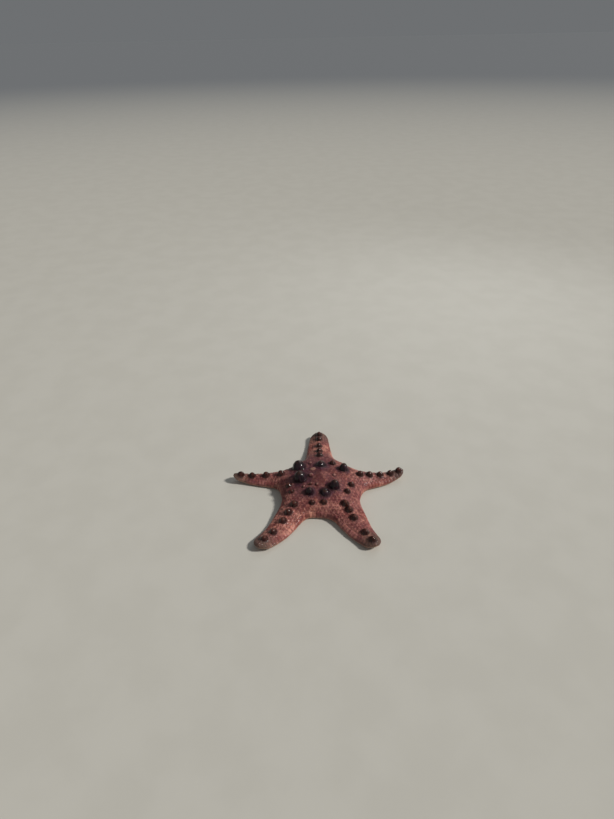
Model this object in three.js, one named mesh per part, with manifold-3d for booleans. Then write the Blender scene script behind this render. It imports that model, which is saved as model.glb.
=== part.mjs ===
// A horned sea star (Protoreaster nodosus), life size, lying flat and still.
//
// Frame: millimetres, +Z up, +X to the right, +Y to the back. The origin is on the
// surface that the star lies on, under the middle of its outline.
//
// The body is one rounded form: a domed disc with five stout arms, flat below, with an
// open furrow under each arm. It is made as a disc and five arms that meet at thin cuts.
// The low knobs grow out of the disc and the arms and are joined to them. The five tall
// horns, the sieve plate on the back and the plates round the mouth are their own solids.

import * as THREE from 'three';
import { mergeVertices } from 'three/addons/utils/BufferGeometryUtils.js';
import Module from 'manifold-3d';

const wasm = await Module();
wasm.setup();

// Driving dimensions ---------------------------------------------------------------

const DISC_CENTRE = { x: 3.31, y: -4.93 }; // from the origin
const DISC_EDGE = 57; // centre to the rim, midway between two arms
const DOME_HEIGHT = 24; // dome that fills the disc between the arms' ridges
const DOME_SPREAD = 96; // where that dome would come down to nothing

const RIDGE_HEIGHT = 26; // top of each arm's ridge, at the disc's centre
const RIDGE_END_HEIGHT = 6; // what the ridge sinks towards at the tip
const RIDGE_HALFWAY = 60; // distance out where half of the difference is lost
const RIDGE_HALFWAY_BEHIND = 30; // the same past the disc's centre, away from the arm
const RIDGE_POWER = 2.2;
const RIDGE_ROUNDING = 1.9; // how softly ridges and dome run together
const ROOF_DROP = 0.42; // share of its height that a flank loses down to the rim
const ROOF_POWER = 1.4;

const RIM_HEIGHT = 4.2; // height of the widest line of the side
const RIM_ROLL_ABOVE = 12; // how far in the side's rounding reaches, above that line
const RIM_ROLL_POWER = 2.2;
const RIM_ROLL_BELOW = 6; // the same below it, down to the flat

const ROOT_HALF_WIDTH = 20; // half of an arm's width where it leaves the disc
const ROOT_STATION = 45; // distance from the disc's centre to that place
const TAPER_POWER = 1.5;
const WEB_END = 80; // distance out where the web between two arms has run out
const WEB_POWER = 4;
const TIP_STRETCH = 1.15; // length of the rounded tip over its half width
const TIP_RISE_LENGTH = 32; // the last stretch of an arm, which turns up

const CUT_STATION = 48.6; // where disc and arms are parted
const BEND_STATION = 50; // an arm's middle line is straight up to here
const GAP = 0.3; // clear space left between neighbours

const FURROW_HALF_WIDTH = 4.4;
const FURROW_TIP_HALF_WIDTH = 2.0;
const FURROW_DEPTH = 4.0;
const FURROW_END = 7; // the furrow ends this far before the tip
const FURROW_FADE = 20; // length over which it grows shallow before its end
const MOUTH_RADIUS = 11;
const MOUTH_DEPTH = 5;
const MOUTH_TAPER = 0.96; // radius of the mouth's recess at its roof, over that at its edge

// One row for each arm: bearings in degrees from +X, anticlockwise, at its root and its
// tip, the sideways sway between them, the reach from the disc's centre, the girth
// against the common taper, half the width at the tip, and how far the tip turns up.
// knobs are the distances out of the knobs along the ridge.
const ARMS = [
  {
    name: 'back', root: 90.6, tip: 89.6, sway: 0, reach: 123.3,
    girth: 1.02, tipHalf: 14.5, tipRise: 5, knobs: [55.5, 69.5, 85.5, 104, 114.5],
  },
  {
    name: 'left', root: 163.4, tip: 169.8, sway: 1.55, reach: 125.8,
    girth: 0.79, tipHalf: 7.2, tipRise: 7, knobs: [58, 79.5, 99.5, 115.5],
  },
  {
    name: 'front_left', root: 230.4, tip: 233.4, sway: 3.1, reach: 137.4,
    girth: 0.99, tipHalf: 12.4, tipRise: 4, knobs: [58.5, 72.5, 87, 108, 124],
  },
  {
    name: 'front_right', root: 302.6, tip: 299.7, sway: -2.1, reach: 129.8,
    girth: 1.12, tipHalf: 12.4, tipRise: 4, knobs: [55.4, 65.6, 79, 105.5, 121],
  },
  {
    name: 'right', root: 371.7, tip: 372, sway: -0.85, reach: 119.8,
    girth: 0.86, tipHalf: 8, tipRise: 8, knobs: [55.3, 69, 84.5, 100, 112.5],
  },
];

const KNOB_BASE_RADIUS = 5.3; // of the first knob on an arm
const KNOB_LAST_RADIUS = 4.9;
const KNOB_HEIGHT = 6.2;
const KNOB_LAST_HEIGHT = 4.9;

// The five tall horns and the lower knobs of the disc: distance from the disc's centre,
// bearing, radius of the base, and height over the skin.
const HORNS = [
  { name: 'back', out: 26.3, bearing: 88.3, radius: 7.4, height: 6.5 },
  { name: 'left', out: 28, bearing: 181.4, radius: 9.6, height: 13.5 },
  { name: 'front_left', out: 32.7, bearing: 239.9, radius: 6, height: 9 },
  { name: 'front_right', out: 25.7, bearing: 310.8, radius: 7.6, height: 12 },
  { name: 'right', out: 36.8, bearing: 391, radius: 6.8, height: 10.5 },
];
const DISC_KNOBS = [
  { out: 36.5, bearing: 62.3, radius: 4.8, height: 5.8 },
  { out: 40, bearing: 139.5, radius: 9.8, height: 11.5 },
  { out: 45.4, bearing: 192.6, radius: 4.4, height: 4.5 },
  { out: 46.1, bearing: 209.2, radius: 3.6, height: 4 },
  { out: 46.2, bearing: 253.4, radius: 3.8, height: 4 },
  { out: 44.4, bearing: 272.7, radius: 4.3, height: 4.6 },
  { out: 29.7, bearing: 278, radius: 7, height: 5.5 },
  { out: 42.5, bearing: 323.4, radius: 4.4, height: 4.8 },
  { out: 42.3, bearing: 343.5, radius: 4.6, height: 5 },
  { out: 37, bearing: 112.5, radius: 3, height: 2.8 },
  { out: 29.3, bearing: 216.3, radius: 2.4, height: 2 },
  { out: 20, bearing: 227.1, radius: 2.6, height: 2.8 },
  { out: 17, bearing: 250.1, radius: 2.6, height: 2.8 },
  { out: 13.7, bearing: 172.6, radius: 3.8, height: 3.4 },
  { out: 18.1, bearing: 4.7, radius: 2.8, height: 2.6 },
];

const SIEVE_OUT = 21; // the sieve plate's place on the disc
const SIEVE_BEARING = 121.5;
const SIEVE_RADIUS = 3.9;
const SIEVE_RISE = 1.3; // how far it stands out of the skin

// Shape of the body ----------------------------------------------------------------

const radians = THREE.MathUtils.degToRad;
const { clamp, lerp } = THREE.MathUtils;

// The bearing midway to the next arm, on each side of every arm.
ARMS.forEach((arm, k) => {
  const next = ARMS[(k + 1) % ARMS.length];
  const turn = ((next.root - arm.root) % 360 + 360) % 360;
  arm.halfAngleLeft = turn / 2;
  next.halfAngleRight = turn / 2;
});

// Bearing of an arm's middle line at a distance out from the disc's centre, in radians.
function bearingAt(arm, station) {
  const along = clamp((station - BEND_STATION) / (arm.reach - BEND_STATION), 0, 1);
  const sway = arm.sway * Math.sin(Math.PI * along) ** 2;
  return radians(arm.root + (arm.tip - arm.root) * along ** 2 + sway);
}

function middleLine(arm, station) {
  const bearing = bearingAt(arm, station);
  return new THREE.Vector2(Math.cos(bearing), Math.sin(bearing)).multiplyScalar(station);
}

const HALF_STEP = 0.5; // either way along the middle line, to find its direction

// A point beside an arm's middle line: sideways is positive to the arm's left.
function besideMiddle(arm, station, sideways) {
  const ahead = middleLine(arm, station + HALF_STEP);
  const behind = middleLine(arm, station - HALF_STEP);
  const along = ahead.sub(behind).normalize();
  const left = new THREE.Vector2(-along.y, along.x);
  return middleLine(arm, station).addScaledVector(left, sideways);
}

// Half of an arm's width. side is 1 for the arm's left and -1 for its right.
function halfWidth(arm, station, side) {
  const halfAngle = radians(side > 0 ? arm.halfAngleLeft : arm.halfAngleRight);
  const webStart = DISC_EDGE * Math.cos(halfAngle);
  const root = ROOT_HALF_WIDTH * arm.girth;
  const tipStart = arm.reach - arm.tipHalf * TIP_STRETCH;
  const along = clamp((station - ROOT_STATION) / (tipStart - ROOT_STATION), 0, 1);
  let half = lerp(root, arm.tipHalf, along ** TAPER_POWER);
  const left = clamp((WEB_END - station) / (WEB_END - webStart), 0, 1);
  half += (DISC_EDGE * Math.sin(halfAngle) - root) * left ** WEB_POWER;
  const intoTip = clamp((station - tipStart) / (arm.reach - tipStart), 0, 1);
  return half * Math.sqrt(1 - intoTip ** 2);
}

// The outline, anticlockwise, as a closed row of points.
const OUTLINE_STEPS = 60; // along each side of an arm
const outline = [];
for (const arm of ARMS) {
  for (const side of [-1, 1]) {
    const halfAngle = radians(side > 0 ? arm.halfAngleLeft : arm.halfAngleRight);
    const start = DISC_EDGE * Math.cos(halfAngle);
    const half = [];
    for (let i = 0; i <= OUTLINE_STEPS; i++) {
      const eased = Math.sin((i / OUTLINE_STEPS) * Math.PI / 2);
      const station = lerp(start, arm.reach, eased);
      half.push(besideMiddle(arm, station, side * halfWidth(arm, station, side)));
    }
    outline.push(...(side < 0 ? half : half.reverse()).slice(0, OUTLINE_STEPS));
  }
}

// Distance from a point inside the outline to its nearest edge.
function toRim(point) {
  let nearest = Infinity;
  outline.forEach((a, i) => {
    const b = outline[(i + 1) % outline.length];
    const edge = b.clone().sub(a);
    const reach = point.clone().sub(a);
    const t = clamp(reach.dot(edge) / edge.lengthSq(), 0, 1);
    nearest = Math.min(nearest, reach.addScaledVector(edge, -t).length());
  });
  return nearest;
}

function ridgeHeight(arm, station, sideways) {
  const halfway = station > 0 ? RIDGE_HALFWAY : RIDGE_HALFWAY_BEHIND;
  const drop = 1 + (Math.abs(station) / halfway) ** RIDGE_POWER;
  const crest = RIDGE_END_HEIGHT + (RIDGE_HEIGHT - RIDGE_END_HEIGHT) / drop;
  const tipStart = arm.reach - arm.tipHalf * TIP_STRETCH;
  const along = clamp((station - ROOT_STATION) / (tipStart - ROOT_STATION), 0, 1);
  const half = lerp(ROOT_HALF_WIDTH * arm.girth, arm.tipHalf, along ** TAPER_POWER);
  const roof = 1 - ROOF_DROP * (Math.abs(sideways) / half) ** ROOF_POWER;
  return crest * roof;
}

// How far an arm's end is turned up at a station, top and bottom alike.
function tipLift(arm, station) {
  const start = arm.reach - TIP_RISE_LENGTH;
  return arm.tipRise * clamp((station - start) / TIP_RISE_LENGTH, 0, 1) ** 2;
}

// Height of the back over a point given on one arm, with every ridge run together.
function backHeight(arm, station, sideways) {
  const point = besideMiddle(arm, station, sideways);
  let sum = Math.exp(ridgeHeight(arm, station, sideways) / RIDGE_ROUNDING);
  for (const other of ARMS) {
    if (other === arm) {
      continue;
    }
    const axis = new THREE.Vector2(Math.cos(radians(other.root)), Math.sin(radians(other.root)));
    const out = point.dot(axis);
    const across = axis.cross(point);
    sum += Math.exp(ridgeHeight(other, out, across) / RIDGE_ROUNDING);
  }
  const dome = DOME_HEIGHT * (1 - (point.length() / DOME_SPREAD) ** 2);
  sum += Math.exp(dome / RIDGE_ROUNDING);
  const full = RIDGE_ROUNDING * Math.log(sum);
  const inward = clamp(1 - toRim(point) / RIM_ROLL_ABOVE, 0, 1);
  const roll = (1 - inward ** RIM_ROLL_POWER) ** (1 / RIM_ROLL_POWER);
  return RIM_HEIGHT + (full - RIM_HEIGHT) * roll + tipLift(arm, station);
}

function furrowHalfWidth(arm, station) {
  const along = clamp((station - MOUTH_RADIUS) / (arm.reach - MOUTH_RADIUS), 0, 1);
  return lerp(FURROW_HALF_WIDTH, FURROW_TIP_HALF_WIDTH, along ** 2);
}

// Height of the underside: flat, rolled up at the rim, and hollow in the furrow.
function underHeight(arm, station, sideways) {
  const point = besideMiddle(arm, station, sideways);
  const inward = clamp(1 - toRim(point) / RIM_ROLL_BELOW, 0, 1);
  let height = RIM_HEIGHT * (1 - Math.sqrt(1 - inward ** 2));
  const across = Math.abs(sideways) / furrowHalfWidth(arm, station);
  if (across < 1) {
    const fade = clamp((arm.reach - FURROW_END - station) / FURROW_FADE, 0, 1);
    height = Math.max(height, FURROW_DEPTH * fade * Math.sqrt(1 - across ** 2));
  }
  return height + tipLift(arm, station);
}

// Where a bearing and a distance from the disc's centre fall on the nearest arm.
function onNearestArm(out, bearing) {
  const offAxis = (arm) => ((bearing - arm.root) % 360 + 540) % 360 - 180;
  const arm = ARMS.reduce((a, b) => (Math.abs(offAxis(a)) < Math.abs(offAxis(b)) ? a : b));
  const angle = radians(offAxis(arm));
  return { arm, station: out * Math.cos(angle), sideways: out * Math.sin(angle) };
}

function placeOnDisc(point) {
  return new THREE.Vector3(DISC_CENTRE.x + point.x, DISC_CENTRE.y + point.y, point.z ?? 0);
}

function backPoint(arm, station, sideways) {
  const flat = besideMiddle(arm, station, sideways);
  return placeOnDisc({ x: flat.x, y: flat.y, z: backHeight(arm, station, sideways) });
}

function underPoint(arm, station, sideways) {
  const flat = besideMiddle(arm, station, sideways);
  return placeOnDisc({ x: flat.x, y: flat.y, z: underHeight(arm, station, sideways) });
}

// The direction that a horn or knob grows in: square to the skin round its base.
function growthDirection(arm, station, sideways, reach) {
  const ahead = backPoint(arm, station + reach, sideways);
  const behind = backPoint(arm, station - reach, sideways);
  const left = backPoint(arm, station, sideways + reach);
  const right = backPoint(arm, station, sideways - reach);
  return ahead.sub(behind).cross(left.sub(right)).normalize();
}

// Solids ---------------------------------------------------------------------------

// A closed surface gathered from points; triangles name their corners by number.
class Skin {
  constructor() {
    this.points = [];
    this.triangles = [];
  }

  add(point) {
    this.points.push(point);
    return this.points.length - 1;
  }

  triangle(a, b, c) {
    if (a !== b && b !== c && c !== a) {
      this.triangles.push(a, b, c);
    }
  }

  // Joins two rows of as many points; the right-hand row is seen on the right when
  // looking along them from outside.
  strip(left, right) {
    for (let i = 0; i + 1 < left.length; i++) {
      this.triangle(left[i], right[i], right[i + 1]);
      this.triangle(left[i], right[i + 1], left[i + 1]);
    }
  }

  geometry() {
    const geometry = new THREE.BufferGeometry();
    geometry.setFromPoints(this.points);
    geometry.setIndex(this.triangles);
    return geometry;
  }
}

const WELD_DISTANCE = 1e-4; // points nearer together than this are one

function toSolid(geometry) {
  const bare = geometry.clone();
  bare.deleteAttribute('normal');
  bare.deleteAttribute('uv');
  const merged = mergeVertices(bare, WELD_DISTANCE);
  const index = merged.getIndex().array;
  const kept = [];
  for (let i = 0; i < index.length; i += 3) {
    const [a, b, c] = index.slice(i, i + 3);
    if (a !== b && b !== c && c !== a) {
      kept.push(a, b, c);
    }
  }
  return new wasm.Manifold(new wasm.Mesh({
    numProp: 3,
    vertProperties: new Float32Array(merged.getAttribute('position').array),
    triVerts: new Uint32Array(kept),
  }));
}

function toGeometry(solid) {
  const mesh = solid.getMesh();
  const geometry = new THREE.BufferGeometry();
  geometry.setAttribute('position', new THREE.BufferAttribute(mesh.vertProperties, 3));
  geometry.setIndex(new THREE.BufferAttribute(mesh.triVerts, 1));
  geometry.computeVertexNormals();
  return geometry;
}

// Places across an arm: shares of the half width for the back, and for the underside
// the furrow's middle, wall and edge, then distances in from the rim.
const BACK_SHARES = [0, 0.22, 0.45, 0.68, 0.86, 0.965];
const FURROW_SHARES = [0, 0.6, 1];
const UNDER_INSETS = [6.4, 3, 1];
const FURROW_SHARE_LIMIT = 0.4; // of the half width, near a narrow tip

function underOffsets(arm, station, side) {
  const half = halfWidth(arm, station, side);
  const furrow = Math.min(furrowHalfWidth(arm, station), half * FURROW_SHARE_LIMIT);
  const insideFurrow = FURROW_SHARES.map((share) => share * furrow);
  const beside = UNDER_INSETS.map((inset) => Math.max(half - inset, lerp(furrow, half, 1 / inset)));
  return [...insideFurrow, ...beside];
}

// One arm, from the cut to its tip: closed rings of points joined along the arm.
const ARM_STATIONS = [58, 67, 76, 86, 96, 106, 114];
const TIP_INSETS = [13, 8, 4, 1.3];
const LEAST_SPACING = 3; // between the last common station and the first of the tip

function armSkin(arm) {
  const skin = new Skin();
  const stations = [
    CUT_STATION + GAP / 2,
    ...ARM_STATIONS.filter((station) => station < arm.reach - TIP_INSETS[0] - LEAST_SPACING),
    ...TIP_INSETS.map((inset) => arm.reach - inset),
  ];
  const rings = stations.map((station) => {
    const row = [];
    for (const side of [-1, 1]) {
      const half = halfWidth(arm, station, side);
      const under = underOffsets(arm, station, side);
      const over = BACK_SHARES.map((share) => share * half);
      const sidePoints = [
        ...under.map((offset) => underPoint(arm, station, side * offset)),
        underPoint(arm, station, side * half),
        ...over.reverse().map((offset) => backPoint(arm, station, side * offset)),
      ];
      row.push(...(side < 0 ? sidePoints : sidePoints.slice(1, -1).reverse()));
    }
    return row.map((point) => skin.add(point));
  });
  rings.forEach((ring) => ring.push(ring[0]));
  for (let i = 0; i + 1 < rings.length; i++) {
    skin.strip(rings[i], rings[i + 1]);
  }
  const tip = skin.add(underPoint(arm, arm.reach, 0));
  const last = rings[rings.length - 1];
  for (let i = 0; i + 1 < last.length; i++) {
    skin.triangle(last[i], tip, last[i + 1]);
  }
  const low = underPoint(arm, stations[0], 0);
  const high = backPoint(arm, stations[0], 0);
  const middle = skin.add(low.add(high).multiplyScalar(1 / 2));
  for (let i = 0; i + 1 < rings[0].length; i++) {
    skin.triangle(middle, rings[0][i], rings[0][i + 1]);
  }
  return skin.geometry();
}

// The disc: columns of points fan out from its centre to the cuts and the rim.
const DISC_BACK_RINGS = [0.2, 0.42, 0.62, 0.78, 0.89, 0.96, 1];
const DISC_UNDER_RINGS = [0, 0.45, 0.868, 0.955, 1];
const CUT_SHARES = [0.55, 0.8, 1];
const WEB_STATIONS = [0.45, 0];

function discColumns() {
  const cut = CUT_STATION - GAP / 2;
  const columns = [];
  ARMS.forEach((arm, k) => {
    const next = ARMS[(k + 1) % ARMS.length];
    const edge = (side) => halfWidth(arm, cut, side);
    const furrow = FURROW_SHARES.map((share) => share * furrowHalfWidth(arm, cut));
    const right = CUT_SHARES.map((share) => -share * edge(-1)).reverse();
    const left = CUT_SHARES.map((share) => share * edge(1));
    const across = [
      ...right,
      ...furrow.slice(1).reverse().map((offset) => -offset),
      ...furrow,
      ...left,
    ];
    for (const sideways of across) {
      const onRim = sideways === right[0] || sideways === left[left.length - 1];
      columns.push({ arm, station: cut, sideways, onRim, onCut: true });
    }
    const start = DISC_EDGE * Math.cos(radians(arm.halfAngleLeft));
    const web = (owner, side, share) => {
      const station = lerp(start, cut, share);
      const sideways = side * halfWidth(owner, station, side);
      return { arm: owner, station, sideways, onRim: true, onCut: false };
    };
    WEB_STATIONS.forEach((share) => columns.push(web(arm, 1, share)));
    WEB_STATIONS.slice(0, -1).reverse().forEach((share) => columns.push(web(next, -1, share)));
  });
  return columns;
}

// The mouth's edge is shared out among the columns: parallel lines inside a furrow and
// the rest in even steps between two furrows.
function setMouthPlaces(columns) {
  const limit = Math.asin(FURROW_HALF_WIDTH / MOUTH_RADIUS);
  const inFurrow = (column) => Math.abs(column.sideways) <= FURROW_HALF_WIDTH;
  const between = columns.filter((column) => !inFurrow(column));
  const perWeb = between.length / ARMS.length;
  for (const column of columns.filter(inFurrow)) {
    column.mouthAngle = radians(column.arm.root) + Math.asin(column.sideways / MOUTH_RADIUS);
  }
  const firstLeft = between.findIndex((column) => column.sideways > 0);
  for (let i = 0; i < between.length; i++) {
    const column = between[(firstLeft + i) % between.length];
    const web = Math.floor(i / perWeb);
    const arm = ARMS[web];
    const from = radians(arm.root) + limit;
    const to = radians(arm.root + 2 * arm.halfAngleLeft) - limit;
    const step = (i % perWeb) + 1;
    column.mouthAngle = lerp(from, to, step / (perWeb + 1));
  }
}

function discSkin() {
  const skin = new Skin();
  const columns = discColumns();
  setMouthPlaces(columns);
  const centre = skin.add(backPoint(ARMS[0], 0, 0));
  const roof = skin.add(placeOnDisc({ x: 0, y: 0, z: MOUTH_DEPTH }));
  const inOwnArm = (arm, flat) => {
    const axis = new THREE.Vector2(Math.cos(radians(arm.root)), Math.sin(radians(arm.root)));
    return [flat.dot(axis), axis.cross(flat)];
  };
  for (const column of columns) {
    const end = besideMiddle(column.arm, column.station, column.sideways);
    const start = new THREE.Vector2(Math.cos(column.mouthAngle), Math.sin(column.mouthAngle));
    start.multiplyScalar(MOUTH_RADIUS);
    column.over = DISC_BACK_RINGS.map((share) => {
      const place = inOwnArm(column.arm, end.clone().multiplyScalar(share));
      return share === 1
        ? skin.add(backPoint(column.arm, column.station, column.sideways))
        : skin.add(backPoint(column.arm, ...place));
    });
    const outer = column.over[column.over.length - 1];
    column.under = DISC_UNDER_RINGS.map((share) => {
      if (share === 1) {
        return column.onRim ? outer : skin.add(underPoint(column.arm, column.station, column.sideways));
      }
      return skin.add(underPoint(column.arm, ...inOwnArm(column.arm, start.clone().lerp(end, share))));
    });
    const high = start.clone().multiplyScalar(MOUTH_TAPER);
    column.hollow = skin.add(placeOnDisc({ x: high.x, y: high.y, z: MOUTH_DEPTH }));
  }
  columns.forEach((column, i) => {
    const next = columns[(i + 1) % columns.length];
    skin.triangle(centre, column.over[0], next.over[0]);
    skin.strip(next.over, column.over);
    skin.strip(column.under, next.under);
    skin.triangle(roof, next.hollow, column.hollow);
    skin.strip([column.hollow, column.under[0]], [next.hollow, next.under[0]]);
    if (column.onCut && next.onCut) {
      const tops = [column.over.at(-1), next.over.at(-1)];
      const bottoms = [column.under.at(-1), next.under.at(-1)];
      skin.triangle(bottoms[0], bottoms[1], tops[1]);
      skin.triangle(bottoms[0], tops[1], tops[0]);
    }
  });
  return skin.geometry();
}

// A blunt cone on a sunk foot, along +Y before it is placed.
const HORN_PROFILE = [[1.08, 0], [0.8, 0.25], [0.6, 0.55], [0.4, 0.82], [0.18, 0.97]];
const KNOB_PROFILE = [[1.05, 0], [0.8, 0.45], [0.42, 0.87]];
const SIEVE_PROFILE = [[1, 0], [0.98, 0.35], [0.8, 0.8], [0.45, 0.99]];
const FOOT_DEPTH = 2;

function cone(radius, height, profile, sides) {
  const points = [
    new THREE.Vector2(0, -FOOT_DEPTH),
    new THREE.Vector2(radius * profile[0][0], -FOOT_DEPTH),
    ...profile.map(([wide, high]) => new THREE.Vector2(radius * wide, height * high)),
    new THREE.Vector2(0, height),
  ];
  return new THREE.LatheGeometry(points, sides);
}

function grown(geometry, { arm, station, sideways }, reach) {
  const direction = growthDirection(arm, station, sideways, reach);
  const turn = new THREE.Quaternion().setFromUnitVectors(new THREE.Vector3(0, 1, 0), direction);
  const place = backPoint(arm, station, sideways);
  const matrix = new THREE.Matrix4().compose(place, turn, new THREE.Vector3(1, 1, 1));
  return toSolid(geometry.applyMatrix4(matrix));
}

const KNOB_SIDES = 8;
const PIMPLE_SIDES = 6; // for a knob narrower than the pimple radius
const PIMPLE_RADIUS = 3.2;
const HORN_SIDES = 12;

function armSolid(arm) {
  let solid = toSolid(armSkin(arm));
  arm.knobs.forEach((station, i) => {
    const along = i / (arm.knobs.length - 1);
    const radius = lerp(KNOB_BASE_RADIUS, KNOB_LAST_RADIUS, along);
    const height = lerp(KNOB_HEIGHT, KNOB_LAST_HEIGHT, along);
    const geometry = cone(radius, height, KNOB_PROFILE, KNOB_SIDES);
    solid = solid.add(grown(geometry, { arm, station, sideways: 0 }, radius));
  });
  return solid;
}

const bareDisc = toSolid(discSkin());

function discSolid() {
  let solid = bareDisc;
  for (const knob of DISC_KNOBS) {
    const sides = knob.radius < PIMPLE_RADIUS ? PIMPLE_SIDES : KNOB_SIDES;
    const geometry = cone(knob.radius, knob.height, KNOB_PROFILE, sides);
    solid = solid.add(grown(geometry, onNearestArm(knob.out, knob.bearing), knob.radius));
  }
  return solid;
}

// Horns and sieve plate stand on the disc: what would lie inside it is cut away.
const HORN_CLEARANCE = 0.36; // upwards, which leaves the gap square to the skin
const raisedDisc = bareDisc.translate([0, 0, HORN_CLEARANCE]);

function hornSolid(horn) {
  const geometry = cone(horn.radius, horn.height, HORN_PROFILE, HORN_SIDES);
  const place = onNearestArm(horn.out, horn.bearing);
  return grown(geometry, place, horn.radius).subtract(raisedDisc);
}

function sieveSolid() {
  const geometry = cone(SIEVE_RADIUS, SIEVE_RISE, SIEVE_PROFILE, HORN_SIDES);
  const place = onNearestArm(SIEVE_OUT, SIEVE_BEARING);
  return grown(geometry, place, SIEVE_RADIUS).subtract(raisedDisc);
}

// The mouth's frame: a ring of five pairs of plates that point at the opening.
const JAW_TIP_RADIUS = 3.2;
const JAW_TIP_HALF_ANGLE = radians(10);
const JAW_ROOT_RADIUS = 7.2;
const JAW_ROOT_HALF_ANGLE = radians(14);
const FRAME_CURVE_STEPS = 12;
const FRAME_RADIUS = MOUTH_RADIUS * MOUTH_TAPER - 2 * GAP;
const FRAME_BOTTOM = 0.6;
const FRAME_TOP = MOUTH_DEPTH - GAP;

function mouthGeometry() {
  const rim = new THREE.Shape();
  rim.absarc(0, 0, FRAME_RADIUS, 0, 2 * Math.PI);
  const at = (radius, angle) => {
    return new THREE.Vector2(Math.cos(angle), Math.sin(angle)).multiplyScalar(radius);
  };
  const opening = ARMS.flatMap((arm) => {
    const root = radians(arm.root);
    const jaw = radians(arm.root + arm.halfAngleLeft);
    return [
      at(JAW_ROOT_RADIUS, root - JAW_ROOT_HALF_ANGLE),
      at(JAW_ROOT_RADIUS, root + JAW_ROOT_HALF_ANGLE),
      at(JAW_TIP_RADIUS, jaw - JAW_TIP_HALF_ANGLE),
      at(JAW_TIP_RADIUS, jaw + JAW_TIP_HALF_ANGLE),
    ];
  });
  rim.holes.push(new THREE.Path(opening));
  const depth = FRAME_TOP - FRAME_BOTTOM;
  const settings = { depth, bevelEnabled: false, curveSegments: FRAME_CURVE_STEPS };
  const geometry = new THREE.ExtrudeGeometry(rim, settings);
  return geometry.translate(DISC_CENTRE.x, DISC_CENTRE.y, FRAME_BOTTOM);
}

// Finishes and the assembled star --------------------------------------------------

const skinFinish = { color: 0x96503f, roughness: 0.55, metalness: 0 };
const hornFinish = { color: 0x261816, roughness: 0.3, metalness: 0 };
const sieveFinish = { color: 0xc9a183, roughness: 0.6, metalness: 0 };
const mouthFinish = { color: 0xc79c86, roughness: 0.6, metalness: 0 };

const star = new THREE.Group();

function addPart(name, geometry, finish) {
  const mesh = new THREE.Mesh(geometry, new THREE.MeshStandardMaterial(finish));
  mesh.name = name;
  star.add(mesh);
}

addPart('disc', toGeometry(discSolid()), skinFinish);
for (const arm of ARMS) {
  addPart(`arm_${arm.name}`, toGeometry(armSolid(arm)), skinFinish);
}
for (const horn of HORNS) {
  addPart(`horn_${horn.name}`, toGeometry(hornSolid(horn)), hornFinish);
}
addPart('sieve_plate', toGeometry(sieveSolid()), sieveFinish);
addPart('mouth', toGeometry(toSolid(mouthGeometry())), mouthFinish);

export default star;
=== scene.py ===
import itertools
import math

import bmesh
import bpy
import numpy as np
from mathutils import Matrix, Vector


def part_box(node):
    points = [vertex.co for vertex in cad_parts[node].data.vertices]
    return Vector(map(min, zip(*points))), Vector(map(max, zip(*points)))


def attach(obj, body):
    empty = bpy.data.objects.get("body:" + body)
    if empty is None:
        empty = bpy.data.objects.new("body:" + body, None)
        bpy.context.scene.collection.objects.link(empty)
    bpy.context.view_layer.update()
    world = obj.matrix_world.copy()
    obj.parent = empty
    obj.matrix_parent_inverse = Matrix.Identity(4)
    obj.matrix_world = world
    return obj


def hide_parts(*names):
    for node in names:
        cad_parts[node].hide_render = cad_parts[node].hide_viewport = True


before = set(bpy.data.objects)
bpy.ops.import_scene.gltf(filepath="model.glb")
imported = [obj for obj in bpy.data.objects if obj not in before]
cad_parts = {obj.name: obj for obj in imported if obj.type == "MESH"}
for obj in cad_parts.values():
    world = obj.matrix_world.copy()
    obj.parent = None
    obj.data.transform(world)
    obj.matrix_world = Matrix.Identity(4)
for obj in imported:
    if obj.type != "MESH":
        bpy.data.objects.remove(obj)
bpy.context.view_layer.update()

# ---------------------------------------------------------------------------------------
# Lie of the arms. A sea star's body is one rounded form, a domed disc that runs out into
# five stout arms of living tissue over a skeleton of small plates. Each arm is given by
# its middle line, its half width, and the height of its ridge.

MM = 0.001  # all sizes of the star are in millimetres from the middle of its disc

mouth_low, mouth_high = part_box("mouth")
DISC_CENTRE = np.array((mouth_low + mouth_high)[:2]) / 2 / MM
DISC_EDGE = 57  # centre to the rim, midway between two arms
DOME_HEIGHT, DOME_SPREAD = 24, 96
RIDGE_HEIGHT, RIDGE_END_HEIGHT = 26, 6
RIDGE_HALFWAY, RIDGE_HALFWAY_BEHIND = 60, 30  # distances where half the height is lost
RIDGE_POWER, RIDGE_ROUNDING = 2.2, 1.9
ROOF_DROP, ROOF_POWER = 0.42, 1.4
RIM_HEIGHT = 4.2
RIM_ROLL_ABOVE, RIM_ROLL_POWER, RIM_ROLL_BELOW = 12, 2.2, 6
ROOT_HALF_WIDTH, ROOT_STATION, TAPER_POWER = 20, 45, 1.5
WEB_END, WEB_POWER = 80, 4
TIP_STRETCH, TIP_RISE_LENGTH = 1.15, 32
BEND_STATION = 50
FURROW_HALF_WIDTH, FURROW_TIP_HALF_WIDTH, FURROW_DEPTH = 4.4, 2.0, 4.0
FURROW_END, FURROW_FADE = 7, 20
MOUTH_RADIUS, MOUTH_DEPTH, MOUTH_EDGE = 11, 5, 1.5

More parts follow.
